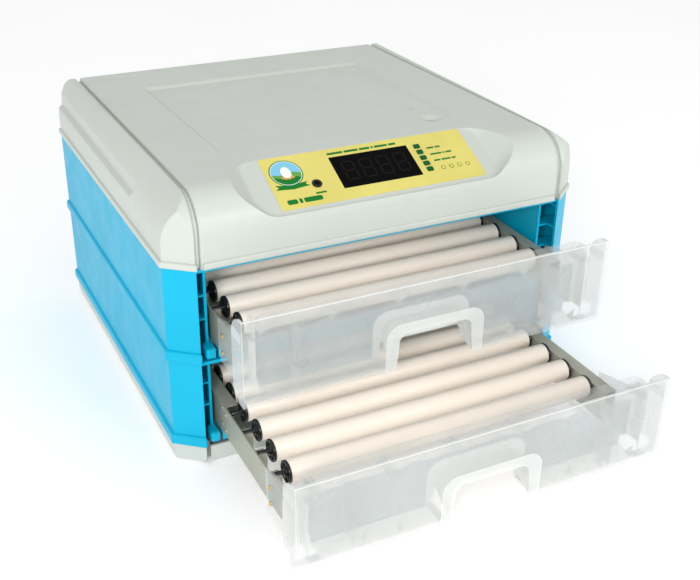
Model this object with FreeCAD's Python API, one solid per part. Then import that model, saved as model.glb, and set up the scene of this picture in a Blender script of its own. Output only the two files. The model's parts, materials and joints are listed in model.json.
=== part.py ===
"""Two-drawer egg incubator: cabinet layers, cover, sliding roller drawers and heating unit.

Millimetres.  X is right for a person facing the front, -Y is the front and Z is up.
The origin is the centre of the cabinet's footprint, on the plane that it stands on.
The drawers are drawn partly pulled out: the upper one a little and the lower one more.
"""
import FreeCAD, Part
import math
import os

V = FreeCAD.Vector

# ---------------------------------------------------------------- driving dimensions
wall_width = 500.0           # outside width of the blue layers
wall_depth = 478.0           # outside depth of the blue layers
front_chamfer_x = 29.0       # front corner facet, measured across the width
front_chamfer_y = 23.0       # and along the depth
back_chamfer = 15.0
skin = 3.0                   # wall thickness of every cabinet moulding

base_height = 22.0
layer_pitch = 106.0          # height of the lower layer; the two drawers repeat at it
cover_bottom = 237.0         # the upper layer ends here and the cover begins
bead_height = 13.0
bead_out = 3.2

opening_half_width = 206.8   # inner faces of the two inner side walls
mouth_depth = 16.0           # the inner walls start this far behind the front plane
rib_heights = (43.0, 70.5, 98.0)
ledge_inner_x = 186.0        # the rails slide on ledges between here and the inner wall
ledge_outer_x = 215.0
ledge_bottom = 3.0           # above the layer's lower edge
ledge_height = 12.5
back_gap = 12.0              # between a layer's outer back wall and its inner one
web_thickness = 2.5          # flat top web that joins the outer and inner walls
rib_thickness = 2.2

foot_rim_round = 5.0
foot_slot_flare = 8.0        # radius that widens the foot's two front slots at the floor
tray_x = 150.0               # water tray: half its width
tray_front_y = -120.0
tray_back_y = 150.0
tray_top = 19.0
tray_wall = 3.0
tray_channels = 3

plateau_front_z = 314.0      # the cover's top falls gently towards the back
plateau_back_z = 306.5
crown_radius = 42.0          # big round edge between the cover's front and top
back_edge_radius = 8.0
lip_height = 7.5
lip_out = 2.6
centre_half_width = 215.5    # the cover's middle moulding
groove_width = 5.0
groove_depth = 4.5
groove_round = 2.2
cap_lean_z = 256.0           # the side caps lean in above this height
cap_shoulder = (24.0, 308.0)  # where the lean meets the top: distance in from the side, and z
grip_ledge_z = 269.5         # hand grip along each side: its ledge, and the wall set back above
grip_set_back = 8.5
grip_front_y = -97.0         # the full grip ends here and runs out at grip_fade_y
grip_fade_y = -135.0

panel_slope = 25.3           # degrees, tilt of the control panel
panel_bottom_y = -231.0      # lower edge of the label on the panel's floor
panel_bottom_z = 281.3
label_half_width = 123.5
label_length = 74.4          # up the slope
label_thickness = 0.4
pocket_floor_x = (-148.0, 143.0)  # ends of the pocket over the panel, on its floor
pocket_rim_x = (-175.0, 168.0)    # and at its rim
pocket_floor_round = 8.0
display_x = (-46.0, 50.0)    # display window, across the panel
display_slope = (15.6, 61.9)  # and up the slope
field_tilt = 0.55            # degrees that the sunk field of the top falls to the back
field_front_step = 1.0       # its depth at the front
field_front_y = -122.0       # the sunk field's front edge and back edge at its floor
field_back_y = 146.0
field_left_x = -149.0
field_right_x = 146.0
field_bevel = 8.0            # run of the sloping sides over their height
field_bevel_height = 6.0
cup_depth = 6.5              # candling cup in the top, part of a sphere
cup_sphere = 19.4
cup_centre = (118.0, -115.0)
lens_radius = 6.0
pip_place = (115.9, -71.0)   # small raised dot behind the cup
inlet_x = -135.0             # centre of the mains inlet in the back
inlet_z = 265.0
jack_place = (-72.9, 28.6)   # panel coordinates: across, and up the slope
jack_radius = 4.6
button_x = 61.5
button_slopes = (21.9, 30.7, 39.4, 48.4, 57.3)
button_size = (7.0, 5.6)

drawer_width = 428.0
front_height = 96.0
front_depth = 27.0           # depth of its side walls
plug_depth = 32.0            # depth of its rear wall
drawer_base_z = {"lower": 27.0, "upper": 27.0 + layer_pitch}
drawer_front_y = {"lower": -462.0, "upper": -341.0}

rail_outer_x = 201.5
rail_inner_x = 186.5
rail_sheet = 1.5
rail_bottom = 11.0           # above the drawer front's lower edge
rail_top = 47.0
rail_start = 62.0            # behind the drawer's front face
rail_seam = 205.0            # the left rail's front piece laps over the rear one here
rail_end = 468.0
wing_end = 94.0
wing_inside_x = 201.9
wing_thickness = 2.2
plug_half_width = 198.0      # the rear wall of the drawer front is a rounded plug
front_wall = 2.4             # wall thickness of the drawer front
plug_top = 86.0
boss_height = 76.0           # six screw bosses behind the drawer's front plate
boss_pitch = 75.0
boss_count = 6
gusset_pitch = 40.0
gusset_count = 10

roller_count = 9
roller_pitch = 38.7
first_roller = 91.8
roller_axis_height = 41.0
roller_radius = 12.0
roller_half_length = 181.0
tube_wall = 1.8
cap_thickness = 3.0
axle_radius = 3.0
roller_wheel_radius = 4.1    # chain wheels on the rollers, under the rail's flange
drive_wheel_radius = 8.2     # chain wheels of the motor and the front idler
sprocket_x = 190.5
sprocket_thickness = 3.0
motor_axis = 438.0           # behind the drawer's front face
chain_thickness = 2.0
drive_height = roller_axis_height - roller_wheel_radius - chain_thickness - drive_wheel_radius - 0.4

fan_half_size = 46.0
fan_y = 20.0
fan_depth = 25.0
fan_duct_radius = 43.5
fan_screw = 41.0             # the four fan screws, across and along from its axis
ceiling_thickness = 3.0
ceiling_hole_radius = 42.0
return_slot_x = (178.0, 197.0)  # long slots that let the air back up, one on each side
return_slot_half_length = 150.0
heater_radius = 78.0
heater_tube_radius = 3.2
probe_place = (90.0, -60.0)

half_width = wall_width / 2.0
half_depth = wall_depth / 2.0
layer_bottoms = {"lower": base_height, "upper": base_height + layer_pitch}
layer_tops = {"lower": base_height + layer_pitch, "upper": cover_bottom}
ceiling_top = cover_bottom + ceiling_thickness
slope_sin = math.sin(math.radians(panel_slope))
slope_cos = math.cos(math.radians(panel_slope))


# ---------------------------------------------------------------- small helpers
def box(x0, x1, y0, y1, z0, z1):
    return Part.makeBox(x1 - x0, y1 - y0, z1 - z0, V(x0, y0, z0))


def cylinder(radius, start, direction, length):
    return Part.makeCylinder(radius, length, V(*start), V(*direction))


def joined(solids):
    first = solids[0]
    if len(solids) == 1:
        return first
    return first.fuse(list(solids[1:])).removeSplitter()


def drilled(solid, tools):
    return solid.cut(list(tools)).removeSplitter()


def polygon_prism(points, vector):
    corners = [V(*point) for point in points]
    face = Part.Face(Part.makePolygon(corners + [corners[0]]))
    return face.extrude(V(*vector))


def mirrored(solid):
    return solid.mirror(V(0, 0, 0), V(1, 0, 0))


def rounded(solid, radius, picks):
    """Fillet the edges whose middle point satisfies picks."""
    edges = [edge for edge in solid.Edges if picks(edge.CenterOfMass)]
    return solid.makeFillet(radius, edges)


def round_rectangle_wire(x0, x1, y0, y1, radius, z=0.0):
    """A closed wire with quarter-round corners in a plane of constant z."""
    corners = ((x1 - radius, y1 - radius, 0), (x0 + radius, y1 - radius, 90),
               (x0 + radius, y0 + radius, 180), (x1 - radius, y0 + radius, 270))
    edges = []
    last = None
    for centre_x, centre_y, angle in corners:
        points = []
        for turn in (0, 45, 90):
            a = math.radians(angle + turn)
            points.append(V(centre_x + radius * math.cos(a), centre_y + radius * math.sin(a), z))
        if last is not None:
            edges.append(Part.makeLine(last, points[0]))
        edges.append(Part.Arc(*points).toShape())
        last = points[2]
    first = edges[0].valueAt(edges[0].FirstParameter)
    edges.append(Part.makeLine(last, first))
    return Part.Wire(edges)


def round_rectangle(x0, x1, y0, y1, radius, z0, z1):
    face = Part.Face(round_rectangle_wire(x0, x1, y0, y1, radius, z0))
    return face.extrude(V(0, 0, z1 - z0))


def on_panel(solid):
    """Move a solid from panel coordinates (x, up the slope, out of the panel) into place."""
    placed = solid.copy()
    placed.rotate(V(0, 0, 0), V(1, 0, 0), panel_slope)
    placed.translate(V(0, panel_bottom_y, panel_bottom_z))
    return placed


# ---------------------------------------------------------------- cabinet layers
def plan_outline(offset):
    """Corner points of the cabinet seen from above, grown outwards by offset."""
    x = half_width + offset
    y = half_depth + offset
    grow = 0.586 * offset
    front_x = front_chamfer_x + grow
    front_y = front_chamfer_y + grow
    back = back_chamfer + grow
    return [(-x, -y + front_y), (-x + front_x, -y), (x - front_x, -y), (x, -y + front_y),
            (x, y - back), (x - back, y), (-x + back, y), (-x, y - back)]


def plan_prism(offset, z0, z1):
    return polygon_prism([(x, y, z0) for x, y in plan_outline(offset)], (0, 0, z1 - z0))


def bead(z0):
    """The rounded band around the foot of a layer."""
    band = plan_prism(bead_out, z0, z0 + bead_height)
    rim = [edge for edge in band.Edges if abs(edge.Vertexes[0].Z - edge.Vertexes[-1].Z) < 0.01]
    band = band.makeFillet(bead_out - 0.4, rim)
    return band.cut(plan_prism(-skin, z0 - 1, z0 + bead_height + 1))


def ledge(z0):
    """The left slide ledge: a round-nosed hollow shelf that a drawer's rail runs on.

    A slot along its front lets the wing of the drawer front pass.
    """
    front = -half_depth
    back = half_depth - back_gap
    bottom = z0 + ledge_bottom
    top = bottom + ledge_height
    nose = box(-ledge_outer_x, -ledge_inner_x, front, front + mouth_depth + 2.0, bottom, top)
    nose = rounded(nose, 3.5, lambda p: p.y < front + 0.1 or p.x < -ledge_outer_x + 0.1)
    run = box(-opening_half_width - 1.0, -ledge_inner_x, front + mouth_depth, back, bottom, top)
    shelf = joined([nose, run])
    hollow = box(-ledge_outer_x + 3.0, -ledge_inner_x - 2.5, front + 3.0, back - 3.0,
                 bottom - 1.0, top - 2.5)
    slot = box(-wing_inside_x - wing_thickness - 0.7, -wing_inside_x + 0.4, front - 1.0,
               front - 13.0 + wing_end + 4.0, bottom - 1.0, top + 1.0)
    return shelf.cut([hollow, slot])


def cabinet_layer(name):
    """Outer and inner walls, top web, front lintel, mouth ribs and the two slide ledges."""
    z0 = layer_bottoms[name]
    z1 = layer_tops[name]
    mouth_y = -half_depth + mouth_depth
    inner_outside = opening_half_width + skin
    inner_back = half_depth - back_gap
    outer = plan_prism(0, z0, z1).cut(plan_prism(-skin, z0 - 1, z1 + 1))
    inner = box(-inner_outside, inner_outside, mouth_y, inner_back, z0, z1)
    inner = inner.cut(box(-opening_half_width, opening_half_width, mouth_y - 1, inner_back - skin,
                          z0 - 1, z1 + 1))
    web = plan_prism(-0.5, z1 - web_thickness, z1)
    web = web.cut(box(-opening_half_width - 1, opening_half_width + 1, -half_depth - 5,
                      inner_back - 1, z1 - 4, z1 + 1))
    pieces = [outer, bead(z0), inner, web]
    for height in rib_heights:
        rib = plan_prism(-1.0, z0 + height, z0 + height + rib_thickness)
        rib = rib.cut(box(-inner_outside + 1, inner_outside - 1, -half_depth - 5, half_depth + 5,
                          z0, z1))
        pieces.append(rib.common(box(-half_width, half_width, -half_depth + 1.5, mouth_y + 18,
                                     z0, z1)))
    shell = joined(pieces)
    chamfer_edge = half_width - front_chamfer_x
    shell = shell.cut(box(-chamfer_edge, chamfer_edge, -half_depth - 10, mouth_y - 0.01,
                          z0 - 1, z1 + 1))
    lintel = box(-chamfer_edge - 2, chamfer_edge + 2, -half_depth + 3.5, mouth_y + 4, z1 - 4, z1)
    left = ledge(z0)
    return joined([shell, lintel, left, mirrored(left)])


def foot_joint():
    """Tool for the slot in the foot's front, flared at the bottom by two rounded corners."""
    slot_left = centre_half_width + 0.5
    slot_right = slot_left + groove_width
    flare = foot_slot_flare
    middle = flare * (1 - math.sqrt(0.5))
    front = -half_depth - 1
    left = Part.Arc(V(slot_left - flare, front, 0), V(slot_left - middle, front, middle),
                    V(slot_left, front, flare)).toShape()
    right = Part.Arc(V(slot_right, front, flare), V(slot_right + middle, front, middle),
                     V(slot_right + flare, front, 0)).toShape()
    top = base_height + 1
    edges = [left, Part.makeLine(V(slot_left, front, flare), V(slot_left, front, top)),
             Part.makeLine(V(slot_left, front, top), V(slot_right, front, top)),
             Part.makeLine(V(slot_right, front, top), V(slot_right, front, flare)), right,
             Part.makeLine(V(slot_right + flare, front, 0), V(slot_left - flare, front, 0))]
    return Part.Face(Part.Wire(edges)).extrude(V(0, 13, 0))


def base_tray():
    """The grey foot: a shallow pan whose front is split by the same two joints as the cover."""
    outer = plan_prism(0, 0, base_height)
    lower_rim = [edge for edge in outer.Edges
                 if max(vertex.Z for vertex in edge.Vertexes) < 0.01]
    outer = outer.makeFillet(foot_rim_round, lower_rim)
    pan = outer.cut(plan_prism(-skin, skin, base_height + 1))
    for side in (-1, 1):
        gap = foot_joint()
        pan = pan.cut(gap if side > 0 else mirrored(gap))
        back_wall = box(213.0, 224.0, -half_depth + 11, -half_depth + 14, 0.5, base_height)
        pan = joined([pan, back_wall if side > 0 else mirrored(back_wall)])
    ribs = [box(x - 1.2, x + 1.2, -half_depth + 3, -half_depth + 30, skin, 14.0)
            for x in (-150.0, -50.0, 50.0, 150.0)]
    return joined([pan] + ribs)


def water_tray():
    """Loose dish under the lower drawer, with three channels for the water."""
    floor = skin + 0.3
    dish = round_rectangle(-tray_x, tray_x, tray_front_y, tray_back_y, 14, floor, tray_top)
    channel_width = (2 * tray_x - tray_wall) / tray_channels - tray_wall
    for index in range(tray_channels):
        x0 = -tray_x + tray_wall + index * (channel_width + tray_wall)
        dish = dish.cut(round_rectangle(x0, x0 + channel_width, tray_front_y + tray_wall,
                                        tray_back_y - tray_wall, 11, floor + 2.0, tray_top + 1))
    return dish


# ---------------------------------------------------------------- cover
def plateau_z(y):
    """Height of the cover's top at depth y."""
    share = (y + half_depth - crown_radius) / (2 * half_depth - crown_radius - back_edge_radius)
    return plateau_front_z + (plateau_back_z - plateau_front_z) * share


def cover_profile(inset, z_bottom, x0, x1):
    """The cover's side outline, moved inwards by inset, as a prism from x0 to x1."""
    front = -half_depth + inset
    back = half_depth - inset
    centre = V(0, -half_depth + crown_radius, plateau_front_z - crown_radius)
    radius = crown_radius - inset
    back_centre = V(0, half_depth - back_edge_radius, plateau_back_z - back_edge_radius)
    back_radius = max(back_edge_radius - inset, 1.0)
    diagonal = math.sqrt(0.5)
    nose = Part.Arc(V(0, front, centre.z),
                    V(0, centre.y - radius * diagonal, centre.z + radius * diagonal),
                    V(0, centre.y, centre.z + radius)).toShape()
    top_back = V(0, back - back_radius, plateau_back_z - inset)
    heel = Part.Arc(top_back,
                    V(0, top_back.y + back_radius * diagonal,
                      top_back.z - back_radius * (1 - diagonal)),
                    V(0, back, top_back.z - back_radius)).toShape()
    edges = [Part.makeLine(V(0, front, z_bottom), V(0, front, centre.z)),
             nose,
             Part.makeLine(V(0, centre.y, centre.z + radius), top_back),
             heel,
             Part.makeLine(V(0, back, back_centre.z), V(0, back, z_bottom)),
             Part.makeLine(V(0, back, z_bottom), V(0, front, z_bottom))]
    face = Part.Face(Part.Wire(edges))
    face.translate(V(x0, 0, 0))
    return face.extrude(V(x1 - x0, 0, 0))


def panel_pocket():
    """The dished space over the control panel: flat floor, sloping ends, open to the front."""
    floor = round_rectangle_wire(*pocket_floor_x, -9.8, 78.5, 26, 0.0)
    rim = round_rectangle_wire(*pocket_rim_x, -12.5, 99, 42, 24.0)
    dish = Part.makeLoft([floor, rim], True, True)
    return on_panel(rounded(dish, pocket_floor_round, lambda p: p.z < 0.1))


def panel_holes():
    """Windows through the panel's floor for the display, the buttons and the jack."""
    tools = [round_rectangle(*display_x, *display_slope, 1.0, -6, 4)]
    width, length = button_size
    for slope in button_slopes:
        tools.append(box(button_x - width / 2 - 0.3, button_x + width / 2 + 0.3,
                         slope - length / 2 - 0.3, slope + length / 2 + 0.3, -6, 4))
    tools.append(cylinder(jack_radius + 0.1, (*jack_place, -6), (0, 0, 1), 10))
    return [on_panel(tool) for tool in tools]


def lid_field():
    """Tool for the sunk field of the top: deeper towards the back, with sloping sides."""
    out = field_bevel
    bottom = round_rectangle_wire(field_left_x, field_right_x, field_front_y, field_back_y, 4, 0.0)
    top = round_rectangle_wire(field_left_x - out, field_right_x + out, field_front_y - out,
                               field_back_y + out, 10, field_bevel_height)
    tool = Part.makeLoft([bottom, top], True, True)
    fall = math.degrees(math.atan2(plateau_front_z - plateau_back_z,
                                   2 * half_depth - crown_radius - back_edge_radius))
    tool.rotate(V(0, field_front_y, 0), V(1, 0, 0), -fall - field_tilt)
    tool.translate(V(0, 0, plateau_z(field_front_y) - field_front_step))
    return tool


def top_cover():
    """Middle moulding of the cover: crown, panel pocket, sunk lid field, candling cup, lip."""
    outer = cover_profile(0, cover_bottom, -centre_half_width, centre_half_width)
    outer = rounded(outer, groove_round, lambda p: abs(abs(p.x) - centre_half_width) < 0.1
                    and p.z > cover_bottom + 1)
    pocket = panel_pocket()
    floor_left, floor_right = pocket_floor_x
    rim_left, rim_right = pocket_rim_x
    backing = on_panel(round_rectangle(floor_left - 7, floor_right + 7, -2, 84, 20, -skin, 0.0))
    inner = cover_profile(skin, cover_bottom - 1, -centre_half_width + skin,
                          centre_half_width - skin)
    below_panel = on_panel(box(rim_left - 2, rim_right + 2, -40, 160, -60, -skin))
    outside_panel = inner.cut(on_panel(box(rim_left + 2, rim_right - 2, -40, 90, -60, 60)))
    field = lid_field()
    under_field = field.copy()
    under_field.translate(V(0, 0, -skin))
    room = joined([outside_panel, inner.common(below_panel)]).cut(under_field)
    cover = outer.cut(room).cut(pocket)
    cover = joined([cover, backing.common(outer)])
    cup_x, cup_y = cup_centre
    cup_z = plateau_z(cup_y)
    cup = Part.makeSphere(cup_sphere, V(cup_x, cup_y, cup_z + cup_sphere - cup_depth))
    bore = cylinder(lens_radius + 0.1, (cup_x, cup_y, cup_z - 12), (0, 0, 1), 12)
    boss = cylinder(15.5, (cup_x, cup_y, cup_z - 9.5), (0, 0, 1), 6.5)
    pip_x, pip_y = pip_place
    pip = cylinder(1.8, (pip_x, pip_y, plateau_z(pip_y) - 2.0), (0, 0, 1), 2.0)
    lip_front = box(-centre_half_width + 2, centre_half_width - 2, -half_depth - lip_out,
                    -half_depth + 1, cover_bottom, cover_bottom + lip_height)
    lip_front = rounded(lip_front, 2.0, lambda p: p.y < -half_depth - lip_out + 0.1
                        and abs(p.x) < 1)
    lip_back = box(-centre_half_width + 2, centre_half_width - 2, half_depth - 1,
                   half_depth + lip_out, cover_bottom, cover_bottom + lip_height)
    vents = [box(x - 1.5, x + 1.5, half_depth - 10, half_depth + 5, 262, 290)
             for x in [60.0 + 9.0 * step for step in range(9)]]
    inlet_hole = box(inlet_x - 15.2, inlet_x + 15.2, half_depth - 10, half_depth + 5,
                     inlet_z - 12.2, inlet_z + 12.2)
    cover = joined([cover, boss.common(outer), lip_front, lip_back])
    cover = drilled(cover, [field, cup, bore, inlet_hole] + vents + panel_holes())
    return joined([cover, pip])


def side_section(inset, y0, length):
    """The side cap's outline seen from the front, moved inwards by inset, as a prism."""
    foot = V(-half_width + inset, y0, cover_bottom - 2)
    lean = V(foot.x + 0.3, y0, cap_lean_z)
    shoulder = V(foot.x + cap_shoulder[0], y0, cap_shoulder[1] - inset)
    middle = V(foot.x + 7.0, y0, 288.0 - 0.4 * inset)
    peak = V(-centre_half_width - groove_width + 22.0, y0, 330.0)
    below_peak = V(peak.x, y0, foot.z)
    edges = [Part.makeLine(foot, lean), Part.Arc(lean, middle, shoulder).toShape(),
             Part.makeLine(shoulder, peak), Part.makeLine(peak, below_peak),
             Part.makeLine(below_peak, foot)]
    return Part.Face(Part.Wire(edges)).extrude(V(0, length, 0))


def grip_cut(start_y, bevel_z, length):
    """Space over the hand grip: a sloping ledge, a wall set back and a bevel up to the top."""
    outside = -half_width - 5.0
    wall_x = -half_width + grip_set_back
    bevel_x = -half_width + 36.0
    above = 335.0
    return polygon_prism([(outside, start_y, grip_ledge_z),
                          (wall_x - 2.0, start_y, grip_ledge_z + 5.0), (wall_x, start_y, 297.0),
                          (bevel_x, start_y, bevel_z), (bevel_x, start_y, above),
                          (outside, start_y, above)], (0, length, 0))


def grip_tool():
    """Tool for the whole hand grip, which runs out on a slope towards the front."""
    far_x = -half_width - 20.0
    slope = polygon_prism([(far_x, grip_front_y + 37, 260), (far_x, grip_front_y, 260),
                           (far_x, grip_fade_y, plateau_back_z), (far_x, grip_fade_y - 15, 335),
                           (far_x, grip_front_y + 37, 335)], (60, 0, 0))
    run_out = grip_cut(grip_fade_y - 25, 325.0, 110.0)
    return joined([grip_cut(grip_front_y, 319.0, wall_depth), slope.common(run_out)])


def side_cap():
    """Left side moulding of the cover, with its hand grip and the floor of the groove."""
    inner_x = -centre_half_width - groove_width
    shape = cover_profile(0, cover_bottom, -half_width, inner_x)
    shape = rounded(shape, groove_round, lambda p: abs(p.x - inner_x) < 0.1
                    and p.z > cover_bottom + 1)
    grip = grip_tool()
    cap = shape.common(side_section(0, -half_depth - 5, wall_depth + 10))
    cap = cap.common(plan_prism(0, cover_bottom, 340)).cut(grip)
    room = cover_profile(skin, cover_bottom - 1, -half_width, inner_x - skin)
    room = room.common(side_section(skin, -half_depth - 5, wall_depth + 10))
    room = room.common(plan_prism(-skin, cover_bottom - 1, 330))
    deeper = grip.copy()
    deeper.translate(V(skin, 0, -skin))
    room = room.cut(deeper)
    floor = cover_profile(groove_depth, cover_bottom, inner_x - 0.5, -centre_half_width - 0.15)
    floor = floor.cut(cover_profile(groove_depth + 2.5, cover_bottom - 1, inner_x - 1,
                                    -centre_half_width))
    lip = plan_prism(lip_out, cover_bottom, cover_bottom + lip_height)
    rim = [edge for edge in lip.Edges if abs(edge.Vertexes[0].Z - edge.Vertexes[-1].Z) < 0.01]
    lip = lip.makeFillet(2.0, rim).cut(plan_prism(-1.0, cover_bottom - 1, cover_bottom + 20))
    lip = lip.common(box(-300, inner_x, -300, 300, cover_bottom - 1, cover_bottom + 20))
    return joined([cap.cut(room), floor, lip])


# ---------------------------------------------------------------- controls and electrics
def control_label():
    sheet = round_rectangle(-label_half_width, label_half_width, 0, label_length, 3.0,
                            0.02, label_thickness)
    return on_panel(sheet).cut(panel_holes())


def display_window():
    left, right = display_x
    low, high = display_slope
    pane = round_rectangle(left + 0.2, right - 0.2, low + 0.2, high - 0.2, 1.0, -1.4, 0.6)
    case = round_rectangle(left + 2, right - 2, low + 1.4, high - 1.9, 1.0, -5.6, -1.4)
    return on_panel(joined([pane, case]))


def push_button(slope):
    """One rubber key: a round-cornered cap, and a wider foot that keeps it in its window."""
    width, length = button_size
    cap = round_rectangle(button_x - width / 2, button_x + width / 2, slope - length / 2,
                          slope + length / 2, 1.2, -4.4, 1.5)
    foot = box(button_x - width / 2 - 1.0, button_x + width / 2 + 1.0,
               slope - length / 2 - 0.7, slope + length / 2 + 0.7, -5.4, -4.4)
    return on_panel(joined([cap, foot]))


def dc_jack():
    """Panel socket for a 12 V plug: collar, barrel and centre pin."""
    collar = cylinder(jack_radius + 0.9, (*jack_place, label_thickness + 0.02), (0, 0, 1), 1.0)
    barrel = cylinder(jack_radius, (*jack_place, -11.0), (0, 0, 1), 12.0)
    hole = cylinder(2.9, (*jack_place, -9.0), (0, 0, 1), 12.0)
    pin = cylinder(1.05, (*jack_place, -9.0), (0, 0, 1), 8.6)
    return on_panel(joined([joined([collar, barrel]).cut(hole), pin]))


def mains_inlet():
    """Three-pin chassis inlet set in the back of the cover."""
    back = half_depth
    x, z = inlet_x, inlet_z
    flange = box(x - 17.5, x + 17.5, back + 0.05, back + 2.5, z - 14.5, z + 14.5)
    body = box(x - 14.5, x + 14.5, back - 20, back + 0.05, z - 11.5, z + 11.5)
    mouth = box(x - 12, x + 12, back - 15, back + 5, z - 8, z + 8)
    pins = [box(x + dx - 1, x + dx + 1, back - 16, back - 2, z + dz - 2, z + dz + 2)
            for dx, dz in ((-7.0, -2.0), (7.0, -2.0), (0.0, 2.0))]
    return joined([joined([flange, body]).cut(mouth)] + pins)


def controller_board():
    """Circuit board under the panel, on four posts, with its relays and terminals."""
    board = box(-115, 115, 4, 66, -20.6, -19.0)
    blocks = [box(-100, -82, 10, 26, -33, -20.6), box(-60, -42, 10, 26, -33, -20.6),
              box(-20, 10, 8, 28, -30, -20.6), box(60, 104, 8, 18, -30, -20.6),
              box(20, 36, 36, 52, -26, -20.6)]
    keypad = [box(button_x - 4, button_x + 4, slope - 3.2, slope + 3.2, -19.0, -14.0)
              for slope in button_slopes]
    return on_panel(joined([board] + blocks + keypad))


def power_supply():
    case = box(-175, -85, 60, 180, ceiling_top + 0.05, ceiling_top + 38)
    slots = [box(-165, -95, y, y + 3, ceiling_top + 35, ceiling_top + 50)
             for y in [75.0 + 10.0 * step for step in range(10)]]
    terminals = box(-170, -90, 44, 60, ceiling_top + 0.05, ceiling_top + 18)
    return joined([case.cut(slots), terminals])


def inner_ceiling():
    """White plate between the electrics and the egg chamber: fan hole and return-air slots."""
    plate = round_rectangle(-209, 209, -222, 222, 12, cover_bottom + 0.05, ceiling_top)
    fan_hole = cylinder(ceiling_hole_radius, (0, fan_y, cover_bottom - 2), (0, 0, 1), 10)
    inner_x, outer_x = return_slot_x
    return_slot = round_rectangle(-outer_x, -inner_x, -return_slot_half_length,
                                  return_slot_half_length, 9, cover_bottom - 1, ceiling_top + 1)
    return plate.cut([fan_hole, return_slot, mirrored(return_slot)])


def fan_frame():
    """Square fan housing with a round duct, and the motor's seat on four struts."""
    bottom = ceiling_top + 0.05
    top = bottom + fan_depth
    s = fan_half_size
    case = round_rectangle(-s, s, fan_y - s, fan_y + s, 5, bottom, top)
    case = case.cut(cylinder(fan_duct_radius, (0, fan_y, bottom - 1), (0, 0, 1), 30))
    seat = cylinder(20.0, (0, fan_y, top - 4), (0, 0, 1), 4)
    pieces = [case, seat]
    for angle in (45, 135, 225, 315):
        strut = box(18, 45, fan_y - 2, fan_y + 2, top - 4, top)
        strut.rotate(V(0, fan_y, 0), V(0, 0, 1), angle)
        pieces.append(strut)
    frame = joined(pieces)
    return frame.cut(cylinder(2.05, (0, fan_y, top - 10), (0, 0, 1), 20))


def fan_rotor():
    """Hub with seven twisted blades and the shaft that turns in the housing's seat."""
    bottom = ceiling_top + 3.0
    hub = cylinder(19.0, (0, fan_y, bottom), (0, 0, 1), 16.5)
    shaft = cylinder(2.0, (0, fan_y, bottom + 16), (0, 0, 1), 8.0)
    pieces = [hub, shaft]
    for index in range(7):
        root = [V(17, fan_y - 5, bottom + 1.5), V(17, fan_y - 3.5, bottom + 1.5),
                V(17, fan_y + 6.5, bottom + 14.5), V(17, fan_y + 5, bottom + 14.5)]
        tip = [V(40, fan_y - 14, bottom + 2), V(40, fan_y - 12.5, bottom + 2),
               V(40, fan_y + 12.5, bottom + 14), V(40, fan_y + 11, bottom + 14)]
        wires = [Part.makePolygon(points + [points[0]]) for points in (root, tip)]
        blade = Part.makeLoft(wires, True, True)
        blade.rotate(V(0, fan_y, 0), V(0, 0, 1), index * 360.0 / 7)
        pieces.append(blade)
    return joined(pieces)


def fan_guard():
    """Wire finger guard under the fan: four rings on a cross of wires."""
    z = cover_bottom - 1.6
    rings = [Part.makeTorus(radius, 0.9, V(0, fan_y, z)) for radius in (12, 22, 32, 42)]
    spokes = []
    for angle in (45, 135, 225, 315):
        a = math.radians(angle)
        spokes.append(cylinder(0.9, (8 * math.cos(a), fan_y + 8 * math.sin(a), z - 1.2),
                               (math.cos(a), math.sin(a), 0), 46))
        spokes.append(cylinder(3.4, (54 * math.cos(a), fan_y + 54 * math.sin(a), z - 2.1),
                               (0, 0, 1), 3.6))
    return joined(rings + spokes)


def heater():
    """Ring-shaped tubular heater hung under the ceiling on three clips."""
    radius = heater_radius
    z = cover_bottom - 9.0
    ring = Part.makeTorus(radius, heater_tube_radius, V(0, fan_y, z), V(0, 0, 1), -180, 180, 345)
    pieces = [ring]
    for angle in (60, 180, 300):
        a = math.radians(angle)
        x = radius * math.cos(a)
        y = fan_y + radius * math.sin(a)
        pieces.append(box(x - 4, x + 4, y - 4, y + 4, z + 1.5, cover_bottom))
    return joined(pieces)


def sensor_probe():
    """Temperature and humidity probe: slotted cap on a bracket under the ceiling."""
    x, y = probe_place
    stem = cylinder(3.0, (x, y, cover_bottom - 20), (0, 0, 1), 20)
    cap = cylinder(6.0, (x, y, cover_bottom - 30), (0, 0, 1), 22)
    slots = [box(x - 10, x + 10, y - 1, y + 1, cover_bottom - 27 + 6 * step,
                 cover_bottom - 24 + 6 * step) for step in range(2)]
    return joined([cap.cut(slots), stem])


def candler_lens():
    """Clear window at the bottom of the egg-testing cup."""
    cup_x, cup_y = cup_centre
    top = plateau_z(cup_y) - cup_depth + 0.6
    lens = cylinder(lens_radius, (cup_x, cup_y, top - 3.4), (0, 0, 1), 3.0)
    return rounded(lens, 1.0, lambda p: p.z > top - 0.6)


def ceiling_screws():
    """Eight pan-head screws that hold the ceiling plate and the fan."""
    pieces = []
    places = [(x, y) for x in (-198.0, 198.0) for y in (-205.0, 205.0)]
    places += [(x, fan_y + y) for x in (-fan_screw, fan_screw) for y in (-fan_screw, fan_screw)]
    for x, y in places:
        on_fan = abs(x) == fan_screw
        z = ceiling_top + fan_depth + 0.07 if on_fan else ceiling_top + 0.02
        head = cylinder(3.6, (x, y, z), (0, 0, 1), 2.4)
        pieces.append(head.cut(box(x - 2.5, x + 2.5, y - 0.5, y + 0.5, z + 1.2, z + 3)))
    return Part.makeCompound(pieces)


# ---------------------------------------------------------------- drawers
# Drawer pieces are built with y measured back from the front face and z up from the
# drawer front's lower edge; place() then sets them at the drawer's stored position.
def place(shape, drawer):
    shape = shape.copy()
    shape.translate(V(0, drawer_front_y[drawer], drawer_base_z[drawer]))
    return shape


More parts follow.
